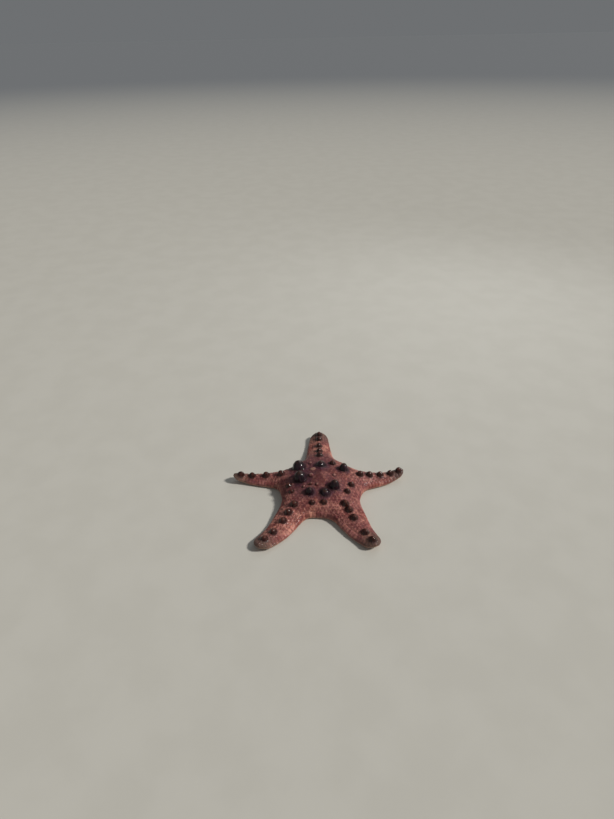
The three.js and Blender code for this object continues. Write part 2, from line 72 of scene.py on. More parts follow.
# Each arm's bearings are in degrees, and its knobs are given by their distances out.
ARM_FACTS = ("name", "root", "tip", "sway", "reach", "girth", "tip_half", "tip_rise", "knobs")
ARMS = [dict(zip(ARM_FACTS, row), half_angle={}) for row in (
    ("back", 90.6, 89.6, 0, 123.3, 1.02, 14.5, 5, (55.5, 69.5, 85.5, 104, 114.5)),
    ("left", 163.4, 169.8, 1.55, 125.8, 0.79, 7.2, 7, (58, 79.5, 99.5, 115.5)),
    ("front_left", 230.4, 233.4, 3.1, 137.4, 0.99, 12.4, 4, (58.5, 72.5, 87, 108, 124)),
    ("front_right", 302.6, 299.7, -2.1, 129.8, 1.12, 12.4, 4, (55.4, 65.6, 79, 105.5, 121)),
    ("right", 371.7, 372, -0.85, 119.8, 0.86, 8, 8, (55.3, 69, 84.5, 100, 112.5)),
)]
LEFT, RIGHT = 1, -1
for one, following in zip(ARMS, ARMS[1:] + ARMS[:1]):
    turn = (following["root"] - one["root"]) % 360
    one["half_angle"][LEFT] = following["half_angle"][RIGHT] = math.radians(turn / 2)


def lerp(start, end, share):
    return start + (end - start) * share


def eased(start, end, value):
    """0 before start, 1 past end, and smooth between them."""
    share = np.clip((value - start) / (end - start), 0, 1)
    return share * share * (3 - 2 * share)


def middle_line(arm, station):
    station = np.asarray(station, float)
    along = np.clip((station - BEND_STATION) / (arm["reach"] - BEND_STATION), 0, 1)
    sway = arm["sway"] * np.sin(np.pi * along) ** 2
    bearing = np.radians(arm["root"] + (arm["tip"] - arm["root"]) * along**2 + sway)
    return np.stack([np.cos(bearing), np.sin(bearing)], -1) * station[..., None]


def beside_middle(arm, station, sideways):
    """The flat place beside an arm's middle line. sideways is positive to the arm's left."""
    half_step = 0.5
    station = np.asarray(station, float)
    along = middle_line(arm, station + half_step) - middle_line(arm, station - half_step)
    along /= np.linalg.norm(along, axis=-1, keepdims=True)
    left = np.stack([-along[..., 1], along[..., 0]], -1)
    return middle_line(arm, station) + left * np.asarray(sideways, float)[..., None]


def axes_of(arm):
    """The flat directions out along an arm's root and to its left."""
    bearing = math.radians(arm["root"])
    along = np.array([math.cos(bearing), math.sin(bearing)])
    return along, np.array([-along[1], along[0]])


def taper(arm, station):
    tip_start = arm["reach"] - arm["tip_half"] * TIP_STRETCH
    along = np.clip((station - ROOT_STATION) / (tip_start - ROOT_STATION), 0, 1)
    return lerp(ROOT_HALF_WIDTH * arm["girth"], arm["tip_half"], along**TAPER_POWER)


def web_start(arm, side):
    return DISC_EDGE * math.cos(arm["half_angle"][side])


def half_width(arm, station, side):
    tip_start = arm["reach"] - arm["tip_half"] * TIP_STRETCH
    web = DISC_EDGE * math.sin(arm["half_angle"][side]) - ROOT_HALF_WIDTH * arm["girth"]
    left_over = np.clip((WEB_END - station) / (WEB_END - web_start(arm, side)), 0, 1)
    into_tip = np.clip((station - tip_start) / (arm["reach"] - tip_start), 0, 1)
    return (taper(arm, station) + web * left_over**WEB_POWER) * np.sqrt(1 - into_tip**2)


# The outline as close-set points, and beside them how far each is along its own side of
# its arm, counted from the web between two arms.
OUTLINE_STEPS = 300
outline, outline_run = [], []
for one in ARMS:
    for side in (RIGHT, LEFT):
        share = np.sin(np.linspace(0, np.pi / 2, OUTLINE_STEPS + 1))
        station = lerp(web_start(one, side), one["reach"], share)
        points = beside_middle(one, station, side * half_width(one, station, side))
        run = np.append(0, np.cumsum(np.linalg.norm(np.diff(points, axis=0), axis=1)))
        order = slice(None, -1) if side == RIGHT else slice(None, 0, -1)
        outline.append(points[order])
        outline_run.append(run[order])
outline, outline_run = np.concatenate(outline), np.concatenate(outline_run)
OUTLINE_SKIP = 10
POINTS_AT_ONCE = 20000


def to_rim(points):
    """How far flat points are from the outline, and how far along it the nearest place is."""
    flat = points.reshape(-1, 2)
    coarse = outline[::OUTLINE_SKIP]
    nearest = np.empty(len(flat), int)
    for start in range(0, len(flat), POINTS_AT_ONCE):
        part = slice(start, start + POINTS_AT_ONCE)
        gaps = (flat[part, None, 0] - coarse[:, 0]) ** 2 + (flat[part, None, 1] - coarse[:, 1]) ** 2
        nearest[part] = gaps.argmin(1) * OUTLINE_SKIP
    best, run = np.full(len(flat), np.inf), np.zeros(len(flat))
    for shift in range(-OUTLINE_SKIP, OUTLINE_SKIP):
        here = (nearest + shift) % len(outline)
        after = (here + 1) % len(outline)
        edge, reach = outline[after] - outline[here], flat - outline[here]
        share = np.clip((reach * edge).sum(1) / (edge * edge).sum(1), 0, 1)
        gap = np.linalg.norm(reach - edge * share[:, None], axis=1)
        closer = gap < best
        best = np.where(closer, gap, best)
        run = np.where(closer, lerp(outline_run[here], outline_run[after], share), run)
    return best.reshape(points.shape[:-1]), run.reshape(points.shape[:-1])


def ridge_height(arm, station, sideways):
    halfway = np.where(station > 0, RIDGE_HALFWAY, RIDGE_HALFWAY_BEHIND)
    drop = 1 + (np.abs(station) / halfway) ** RIDGE_POWER
    crest = RIDGE_END_HEIGHT + (RIDGE_HEIGHT - RIDGE_END_HEIGHT) / drop
    return crest * (1 - ROOF_DROP * (np.abs(sideways) / taper(arm, station)) ** ROOF_POWER)


def tip_lift(arm, station):
    start = arm["reach"] - TIP_RISE_LENGTH
    return arm["tip_rise"] * np.clip((station - start) / TIP_RISE_LENGTH, 0, 1) ** 2


def back_height(arm, station, sideways, inset=None):
    """Height of the bare back: five ridges and a dome run together, rolled down at the rim."""
    place = beside_middle(arm, station, sideways)
    if inset is None:
        inset = to_rim(place)[0]
    total = np.exp(ridge_height(arm, station, sideways) / RIDGE_ROUNDING)
    for other in ARMS:
        if other is not arm:
            out, across = (place @ direction for direction in axes_of(other))
            total = total + np.exp(ridge_height(other, out, across) / RIDGE_ROUNDING)
    dome = DOME_HEIGHT * (1 - (place**2).sum(-1) / DOME_SPREAD**2)
    full = RIDGE_ROUNDING * np.log(total + np.exp(dome / RIDGE_ROUNDING))
    inward = np.clip(1 - inset / RIM_ROLL_ABOVE, 0, 1)
    roll = (1 - inward**RIM_ROLL_POWER) ** (1 / RIM_ROLL_POWER)
    return RIM_HEIGHT + (full - RIM_HEIGHT) * roll + tip_lift(arm, station)


def furrow_half_width(arm, station):
    along = np.clip((station - MOUTH_RADIUS) / (arm["reach"] - MOUTH_RADIUS), 0, 1)
    return lerp(FURROW_HALF_WIDTH, FURROW_TIP_HALF_WIDTH, along**2)


def under_height(arm, station, sideways, inset):
    """Height of the underside: flat, rolled up at the rim, hollow in furrow and mouth."""
    inward = np.clip(1 - inset / RIM_ROLL_BELOW, 0, 1)
    height = RIM_HEIGHT * (1 - np.sqrt(1 - inward**2))
    across = np.clip(np.abs(sideways) / furrow_half_width(arm, station), 0, 1)
    fade = np.clip((arm["reach"] - FURROW_END - station) / FURROW_FADE, 0, 1)
    furrow = FURROW_DEPTH * fade * np.sqrt(1 - across**2)
    out = np.hypot(station, sideways)
    middle = MOUTH_DEPTH * (1 - eased(MOUTH_RADIUS - MOUTH_EDGE, MOUTH_RADIUS, out))
    return np.maximum(np.maximum(height, furrow), middle) + tip_lift(arm, station)


def on_nearest_arm(out, bearing):
    """The arm that a bearing falls on, with the place's station and sideways distance there."""
    def off_axis(arm):
        return (bearing - arm["root"] + 180) % 360 - 180
    nearest = min(ARMS, key=lambda arm: abs(off_axis(arm)))
    angle = math.radians(off_axis(nearest))
    return nearest, out * math.cos(angle), out * math.sin(angle)


def back_point(arm, station, sideways):
    flat = beside_middle(arm, station, sideways)
    height = back_height(arm, np.asarray(station, float), np.asarray(sideways, float))
    return np.concatenate([flat, height[..., None]], -1)


def growth_direction(arm, station, sideways, reach):
    """The direction square to the back round a place."""
    ahead = back_point(arm, station + reach, sideways) - back_point(arm, station - reach, sideways)
    left = back_point(arm, station, sideways + reach) - back_point(arm, station, sideways - reach)
    square = np.cross(ahead, left)
    return square / np.linalg.norm(square)


def in_frame(points):
    """Points from the middle of the disc, in millimetres, as places in the shared frame."""
    shifted = np.array(points, float)
    shifted[..., :2] += DISC_CENTRE
    return shifted * MM


SCATTER = (73856093, 19349663, 83492791)  # large numbers that give each cell a value of its own
SEED_SCATTER, SCRAMBLE, LARGEST = 2654435, 1274126177, 0x7FFFFFFF


def soft_noise(points, size, seed):
    """A smooth random value from -1 to 1 at each point, in swells of about this size."""
    cell = np.floor(points / size).astype(np.int64)
    part = points / size - cell
    part = part * part * part * (part * (part * 6 - 15) + 10)
    total = np.zeros(len(points))
    for corner in itertools.product((0, 1), repeat=3):
        key = (cell + corner) * SCATTER
        mixed = key[:, 0] ^ key[:, 1] ^ key[:, 2] ^ seed * SEED_SCATTER
        mixed = (mixed ^ mixed >> 13) * SCRAMBLE & LARGEST
        weight = np.where(corner, part, 1 - part).prod(1)
        total += (mixed / (LARGEST // 2) - 1) * weight
    return total


# ---------------------------------------------------------------------------------------
# The places where knobs and horns grow. They are blunt cones of skeleton that stand on the
# disc and in one row down each arm. The skin swells into a low collar round each of them.

KNOB_RADIUS, KNOB_LAST_RADIUS = 5.3, 4.9
KNOB_HEIGHT, KNOB_LAST_HEIGHT = 6.2, 4.9
HORNS = {  # distance out, bearing, radius of the base, height over the skin
    "back": (26.3, 88.3, 7.4, 6.5),
    "left": (28, 181.4, 9.6, 13.5),
    "front_left": (32.7, 239.9, 6, 9),
    "front_right": (25.7, 310.8, 7.6, 12),
    "right": (36.8, 391, 6.8, 10.5),
}
DISC_KNOBS = [
    (36.5, 62.3, 4.8, 5.8),
    (40, 139.5, 9.8, 11.5),
    (45.4, 192.6, 4.4, 4.5),
    (46.1, 209.2, 3.6, 4),
    (46.2, 253.4, 3.8, 4),
    (44.4, 272.7, 4.3, 4.6),
    (29.7, 278, 7, 5.5),
    (42.5, 323.4, 4.4, 4.8),
    (42.3, 343.5, 4.6, 5),
]
BEADS = [  # the smallest, near the middle
    (37, 112.5, 3, 2.8),
    (29.3, 216.3, 2.4, 2),
    (20, 227.1, 2.6, 2.8),
    (17, 250.1, 2.6, 2.8),
    (13.7, 172.6, 3.8, 3.4),
    (18.1, 4.7, 2.8, 2.6),
]
SIEVE_OUT, SIEVE_BEARING, SIEVE_RADIUS, SIEVE_RISE = 21, 121.5, 3.9, 1.3

knob_places = [(*on_nearest_arm(out, bearing), *size) for out, bearing, *size in DISC_KNOBS]
bead_places = [(*on_nearest_arm(out, bearing), *size) for out, bearing, *size in BEADS]
for one in ARMS:
    for index, station in enumerate(one["knobs"]):
        along = index / (len(one["knobs"]) - 1)
        radius = lerp(KNOB_RADIUS, KNOB_LAST_RADIUS, along)
        knob_places.append((one, station, 0, radius, lerp(KNOB_HEIGHT, KNOB_LAST_HEIGHT, along)))
horn_places = {
    name: (*on_nearest_arm(out, bearing), *size) for name, (out, bearing, *size) in HORNS.items()
}

# ---------------------------------------------------------------------------------------
# The skin. One unbroken leathery skin covers disc and arms, over a net of skeletal plates
# on the back, two rows of thick block-like plates along the rim, and a pavement below.
# It is laid as rows of points from each arm's middle line to the rim, then raised.

COLUMNS = 200  # along each side of each arm
BACK_ROWS, BACK_BAND_ROWS, BACK_BAND = 64, 24, 9.0
UNDER_ROWS, UNDER_BAND_ROWS, UNDER_BAND = 34, 10, 6.5
FAN_POWER = 3.5  # how fast the columns turn from the disc's centre to square across the arm
RIM_STEPS, FINE_STEPS = 800, 201  # the close steps along which the columns and rows are spaced
SHEET = 380  # side of the square that the skin's bake map lies on
BACK_AT = (126, 117)  # where the disc's middle lies on it, seen from above
UNDER_AT, UNDER_STEP = (246, 34), 68  # the same for the first arm seen from below
RIBBON_AT, RIBBON_STEP = (4, 253), (122, 17)  # and for the strips along the rim
MARGIN_PLATE = 4.8  # length of a plate of the rim
MARGIN_BAND = 7.6  # its height on the back's side


def columns_of(arm, side):
    """Stations of the rim, of the columns' feet on the middle line, and lengths along the rim."""
    start = web_start(arm, side)
    station = lerp(start, arm["reach"], np.sin(np.linspace(0, np.pi / 2, RIM_STEPS)))
    rim = beside_middle(arm, station, side * half_width(arm, station, side))
    run = np.append(0, np.cumsum(np.linalg.norm(np.diff(rim, axis=0), axis=1)))
    foot = station - start * (1 - (station - start) / (arm["reach"] - start)) ** FAN_POWER
    progress = run / run[-1] + foot / foot[-1]
    even = np.linspace(0, progress[-1], COLUMNS + 1)
    return [np.interp(even, progress, values) for values in (station, foot, run)]


def half_arm_sheet(arm, side, on_back):
    """A grid of points over one side of one arm, with what is known of each of them."""
    inner, outer, band = (
        (BACK_ROWS, BACK_BAND_ROWS, BACK_BAND) if on_back else (UNDER_ROWS, UNDER_BAND_ROWS, UNDER_BAND)
    )
    rim, foot, run = columns_of(arm, side)
    foot = (foot + columns_of(arm, -side)[1]) / 2  # so both sides meet in the same points
    half = side * half_width(arm, rim, side)

    def surface(share):
        station = foot[:, None] + (rim - foot)[:, None] * share
        sideways = half[:, None] * share
        place = beside_middle(arm, station, sideways)
        inset, rim_run = to_rim(place)
        inset = np.where(share == 1, 0, inset)
        height = (back_height if on_back else under_height)(arm, station, sideways, inset)
        return station, sideways, np.concatenate([place, height[..., None]], -1), rim_run

    fine = np.tile(np.sin(np.linspace(0, np.pi / 2, FINE_STEPS)), (COLUMNS + 1, 1))
    steps = np.linalg.norm(np.diff(surface(fine)[2], axis=1), axis=2)
    length = np.concatenate([np.zeros((COLUMNS + 1, 1)), np.cumsum(steps, 1)], 1)
    total = length[:, -1:]
    reach = np.minimum(band, total / 2)
    wanted = np.concatenate([
        (total - reach) * np.linspace(0, 1, inner + 1),
        total - reach + reach * np.linspace(0, 1, outer + 1)[1:],
    ], 1)
    share = np.stack([np.interp(w, l, f) for w, l, f in zip(wanted, length, fine)])
    share[:, -1] = 1
    station, sideways, point, rim_run = surface(share)
    level = (total - wanted) * (1 if on_back else -1)
    return dict(
        station=station, sideways=sideways, point=point, run=np.broadcast_to(run[:, None], level.shape),
        rim_run=rim_run, level=level, inner=inner,
    )


def bake_places(sheet, number, side, on_back):
    """Where a half arm lies on the bake map: its flat part, and its edge as a ribbon."""
    strip = np.stack([sheet["run"], sheet["level"]], -1) + RIBBON_AT
    strip += (RIBBON_STEP[0] * (side == LEFT), RIBBON_STEP[1] * number)
    if on_back:
        flat = sheet["point"][..., :2] + BACK_AT
    else:
        flat = np.stack([sheet["station"], sheet["sideways"]], -1) + UNDER_AT + (0, UNDER_STEP * number)
    return flat / SHEET, strip / SHEET


sheets = {
    (number, side, on_back): half_arm_sheet(one, side, on_back)
    for number, one in enumerate(ARMS)
    for side, on_back in itertools.product((RIGHT, LEFT), (True, False))
}
for number, on_back in itertools.product(range(len(ARMS)), (True, False)):
    here = sheets[number, LEFT, on_back]["point"]
    beyond = sheets[(number + 1) % len(ARMS), RIGHT, on_back]["point"]
    here[0] = beyond[0] = (here[0] + beyond[0]) / 2  # neighbouring arms meet in the web

points, faces, corners, facts = [], [], [], []
count = 0
for number, one in enumerate(ARMS):
    for side, on_back in itertools.product((RIGHT, LEFT), (True, False)):
        sheet = sheets[number, side, on_back]
        across = sheet["level"].shape[1]
        index = count + np.arange((COLUMNS + 1) * across).reshape(COLUMNS + 1, across)
        count += index.size
        shown = [(0, 0), (1, 0), (1, 1), (0, 1)]
        if (side == LEFT) != on_back:
            shown.reverse()
        flat, ribbon = bake_places(sheet, number, side, on_back)
        in_ribbon = np.broadcast_to(np.arange(across - 1) >= sheet["inner"], (COLUMNS, across - 1))

        def corner(values, step):
            down, over = step
            return values[down:COLUMNS + down, over:across - 1 + over]

        faces.append(np.stack([corner(index, step) for step in shown], -1).reshape(-1, 4))
        corners.append(np.stack([
            np.where(in_ribbon[..., None], corner(ribbon, step), corner(flat, step)) for step in shown
        ], 2).reshape(-1, 4, 2))
        points.append(sheet["point"].reshape(-1, 3))
        facts.append(np.stack([
            np.full(index.size, number), sheet["station"].ravel(), sheet["sideways"].ravel(),
            sheet["rim_run"].ravel(), sheet["level"].ravel(),
        ], -1))
points, faces = np.concatenate(points), np.concatenate(faces)
corners, facts = np.concatenate(corners), np.concatenate(facts)


def put_values(mesh, name, values):
    layer = mesh.attributes.get(name) or mesh.attributes.new(name, "FLOAT", "POINT")
    layer.data.foreach_set("value", np.ascontiguousarray(values, np.float32))


def numbers_of(items, key, width=1):
    """What items hold under a key: a number each, or a row of this width."""
    found = np.empty(len(items) * width)
    items.foreach_get(key, found)
    return found.reshape(len(items), width).squeeze()


def in_scene(name, data):
    """A new object in the scene that shows this data."""
    made = bpy.data.objects.new(name, data)
    bpy.context.scene.collection.objects.link(made)
    return made


def mesh_object(name, points, faces):
    """A smooth-shaded object from points in millimetres and faces."""
    mesh = bpy.data.meshes.new(name)
    mesh.from_pydata(in_frame(points).tolist(), [], [list(map(int, face)) for face in faces])
    mesh.shade_smooth()
    return in_scene(name, mesh)


skin = mesh_object("skin", points, faces)
mesh = skin.data
mesh.uv_layers.new(name="OFBake").uv.foreach_set("vector", corners.astype(np.float32).ravel())
FACTS = ("arm", "station", "sideways", "run", "level")
for name, values in zip(FACTS, facts.T):
    put_values(mesh, name, values)
WELD_DISTANCE = 0.001
welded = bmesh.new()
welded.from_mesh(mesh)
bmesh.ops.remove_doubles(welded, verts=welded.verts, dist=WELD_DISTANCE * MM)
bmesh.ops.dissolve_degenerate(welded, edges=welded.edges, dist=WELD_DISTANCE * MM / 10)
welded.to_mesh(mesh)
welded.free()

place = numbers_of(mesh.vertices, "co", 3) / MM
place[:, :2] -= DISC_CENTRE
normal = numbers_of(mesh.vertex_normals, "vector", 3)
number, station, sideways, run, level = (numbers_of(mesh.attributes[name].data, "value") for name in FACTS)
reach = np.array([one["reach"] for one in ARMS])[number.round().astype(int)]

# The net of bars between the back's plates: three sets of parallel lines, mirrored at
# each arm's middle and shrinking towards its tip, bent out of line a little at random.
PLATE_SPACING, SMALLEST_PLATE = 5.8, 0.7
BAR_CORE, BAR_HALF_WIDTH = 0.25, 0.95
PLATE_CORE, PLATE_EDGE = 0.9, 3.3  # sums of the distances to the three sets of lines
WIDE_BEND, SHORT_BEND = (11, 2.1), (4, 0.85)  # size of the swells, and how far they bend
bend = np.stack([
    soft_noise(place, WIDE_BEND[0], seed) * WIDE_BEND[1]
    + soft_noise(place, SHORT_BEND[0], seed + 2) * SHORT_BEND[1]
    for seed in (11, 12)
], -1)
inner = station < BEND_STATION
bent = place[:, :2] + bend
frames = np.stack([[bent @ direction for direction in axes_of(one)] for one in ARMS])
owner = frames[:, 0].argmax(0)
picked = frames[owner, :, np.arange(len(owner))]
net_station = np.where(inner, picked[:, 0], station + bend[:, 0])
net_sideways = np.where(inner, picked[:, 1], sideways + bend[:, 1])
outer_share = np.clip((net_station - BEND_STATION) / (reach - BEND_STATION), 0, 0.999)
shrink = 1 - SMALLEST_PLATE
stretched = (reach - BEND_STATION) * -np.log(1 - shrink * outer_share) / shrink
net_station = np.minimum(net_station, BEND_STATION) + stretched
net_sideways = np.abs(net_sideways) / (1 - shrink * outer_share)
row_height = PLATE_SPACING * math.sqrt(3) / 2
gaps = []
for turn in np.radians((0, 60, 120)):
    offset = (net_sideways * math.cos(turn) - net_station * math.sin(turn)) / row_height
    gaps.append(np.abs(offset - np.round(offset)) * row_height)
gaps = np.stack(gaps)
bar = 1 - eased(BAR_CORE, BAR_HALF_WIDTH, gaps.min(0))
plate = 1 - eased(PLATE_CORE, PLATE_EDGE, gaps.sum(0))
BAR_STRENGTH, BAR_UNEVENNESS = 0.62, 0.55
bar *= BAR_STRENGTH + BAR_UNEVENNESS * soft_noise(place, 5, 15)  # some bars are faint

# The rim's plates, in two rows, with a seam between the rows along the widest line.
position = run / MARGIN_PLATE
block = 1 - np.abs(2 * (position - np.floor(position)) - 1) ** 5
near_tip = eased(3, 10, reach - station)
above = eased(0.1, 1.6, level) * (1 - eased(MARGIN_BAND - 1.4, MARGIN_BAND, level))
below = eased(0.1, 1.4, -level) * (1 - eased(UNDER_BAND - 1.3, UNDER_BAND - 0.1, -level))
rim_plates = (above + below) * block * near_tip
in_rim = (1 - eased(MARGIN_BAND - 0.8, MARGIN_BAND + 0.2, level)) * near_tip

# The pavement of the underside: rows of plates beside each furrow.
PAVING, PAVING_SEAM = 3.2, 0.5
paving_row = np.abs(sideways) / PAVING
row_number = np.floor(paving_row)
paving_step = station / PAVING + row_number * 0.5
seam = np.minimum(
    np.abs(paving_row - np.round(paving_row)), np.abs(paving_step - np.round(paving_step))
) * PAVING
on_under = eased(-UNDER_BAND + 0.5, -UNDER_BAND - 0.5, level)
paving = 1 - eased(0.1, PAVING_SEAM, seam)

# Collars round knobs, horns and sieve plate, and the stain that shades into their roots.
BROAD_RADIUS = 5.9  # a horn or knob at least this wide has a broad dark shade round it
COLLAR_RISE = 0.13  # over the radius of what it goes round, as are the next three
COLLAR_REACH, STAIN_REACH, SHADE_REACH = 1.55, 1.38, 2.3
collar, stain, shade = np.zeros((3, len(place)))
sieve_place = (*on_nearest_arm(SIEVE_OUT, SIEVE_BEARING), SIEVE_RADIUS, SIEVE_RISE)
for arm_there, there_station, there_sideways, radius, _ in (
    *knob_places, *bead_places, *horn_places.values(), sieve_place,
):
    root = back_point(arm_there, there_station, there_sideways)
    away = np.linalg.norm(place - root, axis=1)
    swell = 1 - eased(radius * 0.95, radius * COLLAR_REACH, away)
    collar = np.maximum(collar, radius * COLLAR_RISE * swell)
    stain = np.maximum(stain, 1 - eased(radius * 0.95, radius * STAIN_REACH, away))
    if radius >= BROAD_RADIUS:
        shade = np.maximum(shade, 1 - eased(radius, radius * SHADE_REACH, away))
away = np.linalg.norm(place - back_point(*sieve_place[:3]), axis=1)
stain *= eased(SIEVE_RADIUS * 1.3, SIEVE_RADIUS * 1.8, away)
on_back = eased(0, 0.5, level)
back_net = on_back * (1 - in_rim)
VENT_AT, VENT_RADIUS = (3.0, 2.0), 1.5  # the small hole near the middle of the back
vent = 1 - eased(0.5, VENT_RADIUS, np.linalg.norm(place[:, :2] - VENT_AT, axis=1))

BAR_RISE, PLATE_RISE, PORE_AREA_DROP = 0.3, 0.26, 0.16
RIM_PLATE_RISE, RIM_SEAM_DROP = 0.62, 0.2
PAVING_SEAM_DROP, VENT_DROP = 0.28, 0.7
SWELL_RISE, RIPPLE_RISE = 0.16, 0.06
relief = (
    back_net * (BAR_RISE * bar + PLATE_RISE * plate - PORE_AREA_DROP)
    + RIM_PLATE_RISE * rim_plates - RIM_SEAM_DROP * in_rim * on_back
    - on_under * PAVING_SEAM_DROP * paving
    + on_back * (collar - VENT_DROP * vent)
    + SWELL_RISE * soft_noise(place, 6.0, 21) + RIPPLE_RISE * soft_noise(place, 2.2, 22)
)
LIT_SIDE = (0.9, -0.44)  # the disc's skin is darker away from this direction, the side the key light comes from: partly a deeper tone, partly painted shade
outward = np.linalg.norm(place[:, :2], axis=1)

shaped = place + normal * relief[:, None]
shaped[:, 2] = np.where(level < 0, np.maximum(shaped[:, 2], 0), shaped[:, 2])
mesh.vertices.foreach_set("co", in_frame(shaped).ravel())

for name, values in dict(
    net=back_net * np.maximum(bar, plate),
    soft_area=back_net * (1 - np.maximum(bar, plate)),
    rim_seam=in_rim * (1 - block) * eased(8, 6.5, np.abs(level)),
    paving=on_under * paving,
    stain=stain * on_back,
    shade=shade,
    beneath=eased(0.6, -2.5, level),
    tipward=eased(34, 6, reach - station),
    heart=1 - eased(10, 48, outward),
    # painted shade on the disc's side away from the key light, partly also a deeper tone of the skin there
    darker_and_shaded_side=(1 - eased(35, 80, outward)) * eased(22, -26, place[:, :2] @ LIT_SIDE),
).items():
    put_values(mesh, name, values)
for name in FACTS:
    mesh.attributes.remove(mesh.attributes[name])
mesh.update()


class Finish:
    """A material whose nodes are laid one after another and end in one shader."""

    def __init__(self, name, roughness, **constant):
        self.material = bpy.data.materials.new(name)
        self.material.use_nodes = True
        self.tree = self.material.node_tree
        self.shader = self.tree.nodes["Principled BSDF"]
        self.shader.inputs["Roughness"].default_value = roughness
        for socket, value in constant.items():
            self.shader.inputs[socket.replace("_", " ")].default_value = value
        self.place = self.tree.nodes.new("ShaderNodeTexCoord").outputs["Object"]

    def feed(self, socket, value):
        """Link another node's output to a socket, or set its fixed value."""
        if isinstance(value, bpy.types.NodeSocket):
            self.tree.links.new(value, socket)
        else:
            socket.default_value = value

    def node(self, kind, outlet=0, settings=(), **inputs):
        """A node's output. Inputs go by name, or by number after a low line."""
        made = self.tree.nodes.new("ShaderNode" + kind)
        for key, value in dict(settings).items():
            setattr(made, key, value)
        for key, value in inputs.items():
            self.feed(made.inputs[int(key[1:]) if key[1:].isdigit() else key.replace("_", " ")], value)
        return made.outputs[outlet]

    def value(self, name):
        return self.node("Attribute", 2, {"attribute_name": name})

    def maths(self, operation, first, second):
        return self.node("Math", 0, {"operation": operation}, _0=first, _1=second)

    def times(self, first, second):
        return self.maths("MULTIPLY", first, second)

    def noise(self, size, detail=2.0, roughness=0.5):
        """Cloudy noise with swells of a size given in millimetres."""
        scale = 1 / (size * MM)
        return self.node("TexNoise", 0, Vector=self.place, Scale=scale, Detail=detail, Roughness=roughness)

    def cells(self, size, outlet=0):
        """Packed cells of a size given in millimetres."""
        return self.node("TexVoronoi", outlet, Vector=self.place, Scale=1 / (size * MM))

    def spread(self, source, low, high, to_low=0.0, to_high=1.0):
        return self.node("MapRange", 0, {"interpolation_type": "SMOOTHSTEP"}, Value=source,
                         From_Min=low, From_Max=high, To_Min=to_low, To_Max=to_high)

    def mix(self, amount, under, over, blend="MIX"):
        under, over = ((*tone, 1) if isinstance(tone, tuple) else tone for tone in (under, over))
        settings = {"data_type": "RGBA", "blend_type": blend}
        return self.node("Mix", 2, settings, _0=amount, _6=under, _7=over)

    def tinted(self, colour, tone, where, strength):
        """A colour that turns to a tone where a value is high, as far as the strength says."""
        return self.mix(self.times(where, strength), colour, tone)

    def bump(self, height, depth, before=None):
        """Small relief of a depth given in millimetres."""
        inputs = {"Height": height, "Distance": depth * MM, "Strength": 1.0}
        if before is not None:
            inputs["Normal"] = before
        return self.node("Bump", 0, **inputs)

    def end(self, colour, normal=None, roughness=None):
        for socket, source in (("Base Color", colour), ("Normal", normal), ("Roughness", roughness)):
            if source is not None:
                self.feed(self.shader.inputs[socket], source)
        return self.material


BRICK = (0.285, 0.082, 0.064)
SALMON = (0.63, 0.27, 0.205)
MAROON = (0.10, 0.02, 0.021)
MAUVE = (0.18, 0.05, 0.064)
DAMSON = (0.062, 0.016, 0.03)
UMBER = (0.035, 0.012, 0.012)
ASH = (0.095, 0.066, 0.052)
BISCUIT = (0.50, 0.31, 0.22)
ROSE_BISCUIT = (0.42, 0.22, 0.17)

leather = Finish("skin_leather", 0.45, Coat_Weight=0.1, Coat_Roughness=0.12, Specular_IOR_Level=0.2)
cloud = leather.noise(15, detail=3.0, roughness=0.6)
patch = leather.noise(6, detail=3.0)
grain = leather.cells(0.75)
grain_tone = leather.cells(0.75, outlet=1)
pore = leather.cells(1.15)
colour = leather.mix(leather.spread(cloud, 0.4, 0.6), BRICK, SALMON)
colour = leather.tinted(colour, MAROON, leather.spread(patch, 0.46, 0.66), 0.7)
tint = leather.noise(34, detail=1.0)
colour = leather.tinted(colour, MAUVE, leather.spread(tint, 0.42, 0.62), 0.5)
colour = leather.tinted(colour, SALMON, leather.value("net"), 0.3)
colour = leather.tinted(colour, MAROON, leather.value("soft_area"), 0.55)
uneven = leather.spread(leather.noise(11, detail=3.0), 0.62, 0.42, 0.2, 1.0)
heart = leather.times(leather.value("heart"), 0.75)
colour = leather.tinted(colour, MAROON, heart, uneven)
# the disc turns darker away from the key light: painted shade, partly a deeper tone of the skin
colour = leather.tinted(colour, DAMSON, leather.value("darker_and_shaded_side"), 0.6)
colour = leather.tinted(colour, DAMSON, leather.value("shade"), uneven)
pores = leather.times(leather.value("soft_area"), leather.spread(pore, 0.42, 0.18))
colour = leather.tinted(colour, UMBER, pores, 0.55)
colour = leather.tinted(colour, MAROON, leather.value("rim_seam"), 0.6)
colour = leather.tinted(colour, ASH, leather.value("tipward"), 0.8)
colour = leather.tinted(colour, UMBER, leather.value("stain"), 0.9)
below = leather.mix(leather.spread(leather.noise(9), 0.35, 0.65), BISCUIT, ROSE_BISCUIT)
below = leather.tinted(below, BRICK, leather.value("paving"), 0.45)
colour = leather.mix(leather.value("beneath"), colour, below)
colour = leather.mix(0.16, colour, grain_tone, "SOFT_LIGHT")
grains = leather.spread(grain, 0.55, 0.1)
relief_of_grain = leather.bump(grains, 0.16)
relief_of_pores = leather.bump(leather.maths("SUBTRACT", 1.0, pores), 0.2, relief_of_grain)
dull = leather.spread(leather.noise(5), 0.3, 0.7, 0.36, 0.56)
skin.data.materials.append(leather.end(colour, relief_of_pores, dull))
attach(skin, "root")
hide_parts("disc", *("arm_" + one["name"] for one in ARMS))

# ---------------------------------------------------------------------------------------
# The horns and knobs. Each is a solid blunt cone of skeleton under a thin, bare, glossy
# skin, almost black, browner at its root, and browner and paler on its top, partly worn and
# partly a painted highlight. Five tall horns stand in a ring on the disc. The lower, rounder
# knobs are three meshes: broad ones, common ones, beads.

